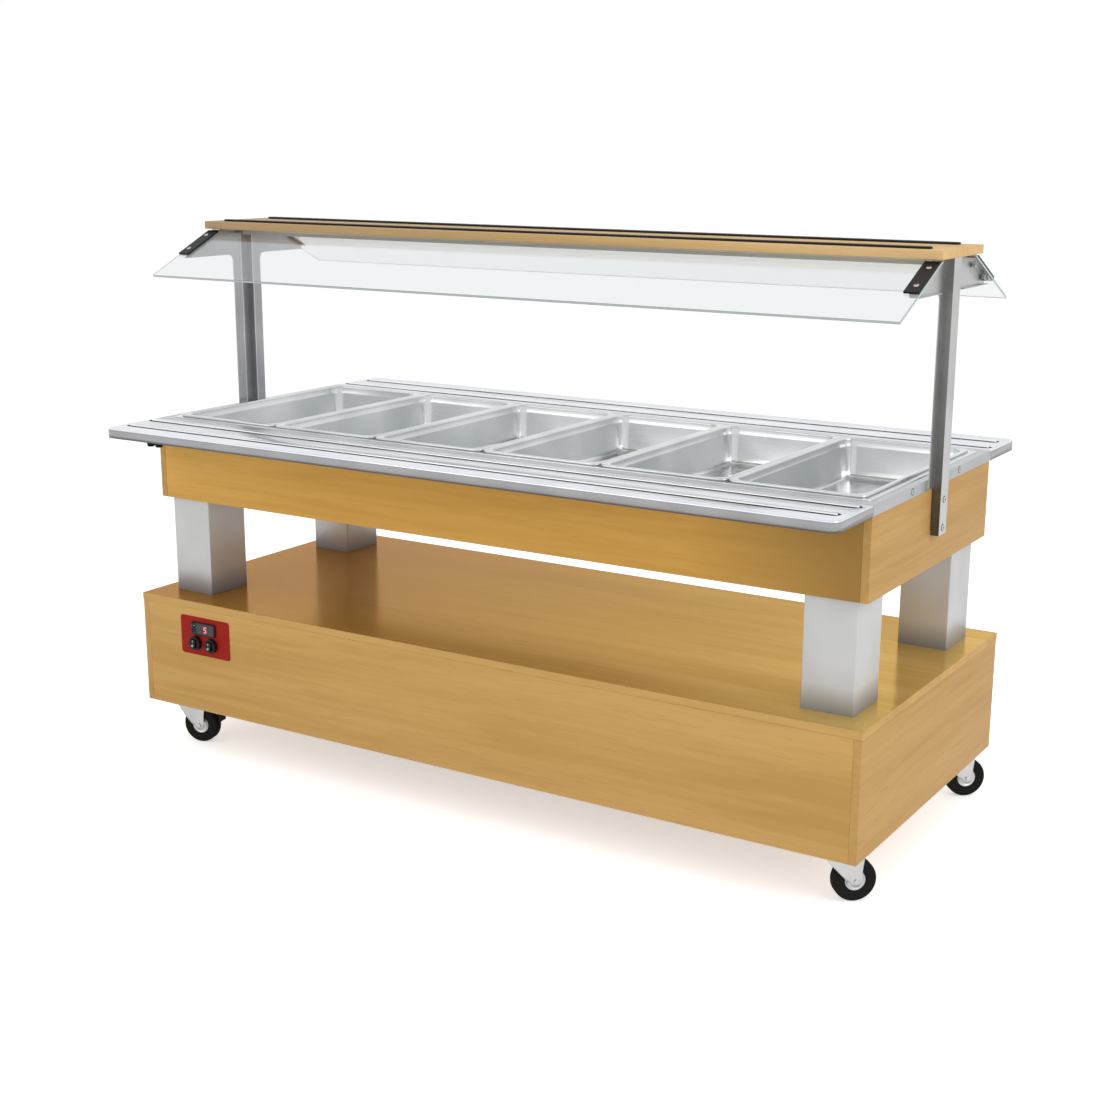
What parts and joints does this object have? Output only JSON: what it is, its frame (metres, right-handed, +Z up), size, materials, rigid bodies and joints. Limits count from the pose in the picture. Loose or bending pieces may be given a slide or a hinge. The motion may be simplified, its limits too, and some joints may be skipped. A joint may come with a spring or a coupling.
{
  "type": "mobile salad bar",
  "caption": "Wheeled refrigerated buffet counter: wooden plinth and apron on steel columns, pans in a cold well, folding tray slides and a glass sneeze-guard canopy.",
  "frame": {"origin": "on the floor under the middle of the counter", "axes": "+X along the counter to its right end seen from the side with the controls, +Y from that front side to the back, +Z up"},
  "size_m": [2.0956, 1.132, 1.411],
  "materials": {
    "wood": "satin",
    "brushed_steel": "brushed",
    "pan_steel": "satin",
    "counter_steel": "satin",
    "post_steel": "brushed",
    "clear_glass": "clear",
    "black_flat_bar": "satin",
    "tyre": "matt",
    "zinc": "zinc plated",
    "black_plastic": "satin",
    "red_plate": "satin",
    "black_paint": "satin",
    "aluminium": "satin",
    "copper": "satin",
    "foam": "matt",
    "white_paint": "satin",
    "lamp_glass": "frosted"
  },
  "bodies": {
    "stand": {"apron_back_panel": "wood", "apron_end_panel_left": "wood", "apron_end_panel_right": "wood", "apron_floor_board": "wood", "apron_front_panel": "wood", "assembly_screws": "zinc", "base_back_panel": "wood", "base_end_panel_left": "wood", "base_end_panel_right": "wood", "base_floor_board": "wood", "base_front_panel": "wood", "base_top_panel": "wood", "board_strips": "black_flat_bar", "canopy_board": "wood", "canopy_post_left": "post_steel", "canopy_post_right": "post_steel", "caster_top_plates": "zinc", "compressor": "black_paint", "condenser_unit": "aluminium", "control_plate": "red_plate", "cooling_pipework": "copper", "glass_back": "clear_glass", "glass_clamps": "black_flat_bar", "glass_front": "clear_glass", "lamp_housing": "white_paint", "lamp_tube": "lamp_glass", "leg_back_left": "brushed_steel", "leg_back_right": "brushed_steel", "leg_front_left": "brushed_steel", "leg_front_right": "brushed_steel", "pan_support_bars": "counter_steel", "slide_hinge_brackets": "zinc", "table_top": "counter_steel", "thermostat": "black_plastic", "vent_grille": "black_paint", "well_insulation": "foam", "well_tub": "counter_steel"},
    "fan": {"condenser_fan": "black_plastic"},
    "slide_front": {"tray_slide_front": "counter_steel"},
    "slide_back": {"tray_slide_back": "counter_steel"},
    "light_rocker": {"light_switch_rocker": "black_plastic"},
    "cooling_rocker": {"cooling_switch_rocker": "black_plastic"},
    "key_up": {"thermostat_key_up": "black_plastic"},
    "key_down": {"thermostat_key_down": "black_plastic"},
    "pan_1": {"gn_pan_1": "pan_steel"},
    "pan_2": {"gn_pan_2": "pan_steel"},
    "pan_3": {"gn_pan_3": "pan_steel"},
    "pan_4": {"gn_pan_4": "pan_steel"},
    "pan_5": {"gn_pan_5": "pan_steel"},
    "pan_6": {"gn_pan_6": "pan_steel"},
    "fork_front_left": {"caster_fork_front_left": "zinc"},
    "wheel_front_left": {"caster_wheel_front_left": "tyre"},
    "pedal_front_left": {"brake_pedal_front_left": "black_plastic"},
    "fork_front_right": {"caster_fork_front_right": "zinc"},
    "wheel_front_right": {"caster_wheel_front_right": "tyre"},
    "fork_back_left": {"caster_fork_back_left": "zinc"},
    "wheel_back_left": {"caster_wheel_back_left": "tyre"},
    "pedal_back_left": {"brake_pedal_back_left": "black_plastic"},
    "fork_back_right": {"caster_fork_back_right": "zinc"},
    "wheel_back_right": {"caster_wheel_back_right": "tyre"}
  },
  "joints": [
    {"name": "fan_spin", "type": "hinge", "parent": "stand", "child": "fan", "pos_m": [-0.69, 0.302, 0.262], "axis": [0, 1, 0], "continuous": true},
    {"name": "pan_1_lift", "type": "slide", "parent": "stand", "child": "pan_1", "axis": [0, 0, 1], "range_m": [0, 0.25]},
    {"name": "pan_2_lift", "type": "slide", "parent": "stand", "child": "pan_2", "axis": [0, 0, 1], "range_m": [0, 0.25]},
    {"name": "pan_3_lift", "type": "slide", "parent": "stand", "child": "pan_3", "axis": [0, 0, 1], "range_m": [0, 0.25]},
    {"name": "pan_4_lift", "type": "slide", "parent": "stand", "child": "pan_4", "axis": [0, 0, 1], "range_m": [0, 0.25]},
    {"name": "pan_5_lift", "type": "slide", "parent": "stand", "child": "pan_5", "axis": [0, 0, 1], "range_m": [0, 0.25]},
    {"name": "pan_6_lift", "type": "slide", "parent": "stand", "child": "pan_6", "axis": [0, 0, 1], "range_m": [0, 0.25]},
    {"name": "slide_front_fold", "type": "hinge", "parent": "stand", "child": "slide_front", "pos_m": [0, -0.3845, 0.868], "axis": [1, 0, 0], "range_deg": [0, 90]},
    {"name": "slide_back_fold", "type": "hinge", "parent": "stand", "child": "slide_back", "pos_m": [0, 0.3845, 0.868], "axis": [-1, 0, 0], "range_deg": [0, 90]},
    {"name": "light_rocker_tilt", "type": "hinge", "parent": "stand", "child": "light_rocker", "pos_m": [-0.851, -0.45, 0.316], "axis": [1, 0, 0], "range_deg": [0, 14]},
    {"name": "cooling_rocker_tilt", "type": "hinge", "parent": "stand", "child": "cooling_rocker", "pos_m": [-0.7955, -0.45, 0.316], "axis": [1, 0, 0], "range_deg": [0, 14]},
    {"name": "key_up_press", "type": "slide", "parent": "stand", "child": "key_up", "axis": [0, 1, 0], "range_m": [0, 0.001], "stiffness_N_per_m": 800, "springref_m": -0.0005},
    {"name": "key_down_press", "type": "slide", "parent": "stand", "child": "key_down", "axis": [0, 1, 0], "range_m": [0, 0.001], "stiffness_N_per_m": 800, "springref_m": -0.0005},
    {"name": "swivel_front_left", "type": "hinge", "parent": "stand", "child": "fork_front_left", "pos_m": [-0.965, -0.366, 0.11], "axis": [0, 0, 1], "continuous": true},
    {"name": "roll_front_left", "type": "hinge", "parent": "fork_front_left", "child": "wheel_front_left", "pos_m": [-0.92425, -0.35584, 0.05], "axis": [-0.2419, 0.9703, 0], "continuous": true},
    {"name": "brake_front_left", "type": "hinge", "parent": "fork_front_left", "child": "pedal_front_left", "pos_m": [-0.89708, -0.34907, 0.101], "axis": [0.2419, -0.9703, 0], "range_deg": [0, 25]},
    {"name": "swivel_front_right", "type": "hinge", "parent": "stand", "child": "fork_front_right", "pos_m": [0.965, -0.366, 0.11], "axis": [0, 0, 1], "continuous": true},
    {"name": "roll_front_right", "type": "hinge", "parent": "fork_front_right", "child": "wheel_front_right", "pos_m": [0.99621, -0.3379, 0.05], "axis": [-0.6691, 0.7431, 0], "continuous": true},
    {"name": "swivel_back_left", "type": "hinge", "parent": "stand", "child": "fork_back_left", "pos_m": [-0.965, 0.366, 0.11], "axis": [0, 0, 1], "continuous": true},
    {"name": "roll_back_left", "type": "hinge", "parent": "fork_back_left", "child": "wheel_back_left", "pos_m": [-0.93379, 0.3941, 0.05], "axis": [-0.6691, 0.7431, 0], "continuous": true},
    {"name": "brake_back_left", "type": "hinge", "parent": "fork_back_left", "child": "pedal_back_left", "pos_m": [-0.91298, 0.41284, 0.101], "axis": [0.6691, -0.7431, 0], "range_deg": [0, 25]},
    {"name": "swivel_back_right", "type": "hinge", "parent": "stand", "child": "fork_back_right", "pos_m": [0.965, 0.366, 0.11], "axis": [0, 0, 1], "continuous": true},
    {"name": "roll_back_right", "type": "hinge", "parent": "fork_back_right", "child": "wheel_back_right", "pos_m": [0.99621, 0.3941, 0.05], "axis": [-0.6691, 0.7431, 0], "continuous": true}
  ]
}
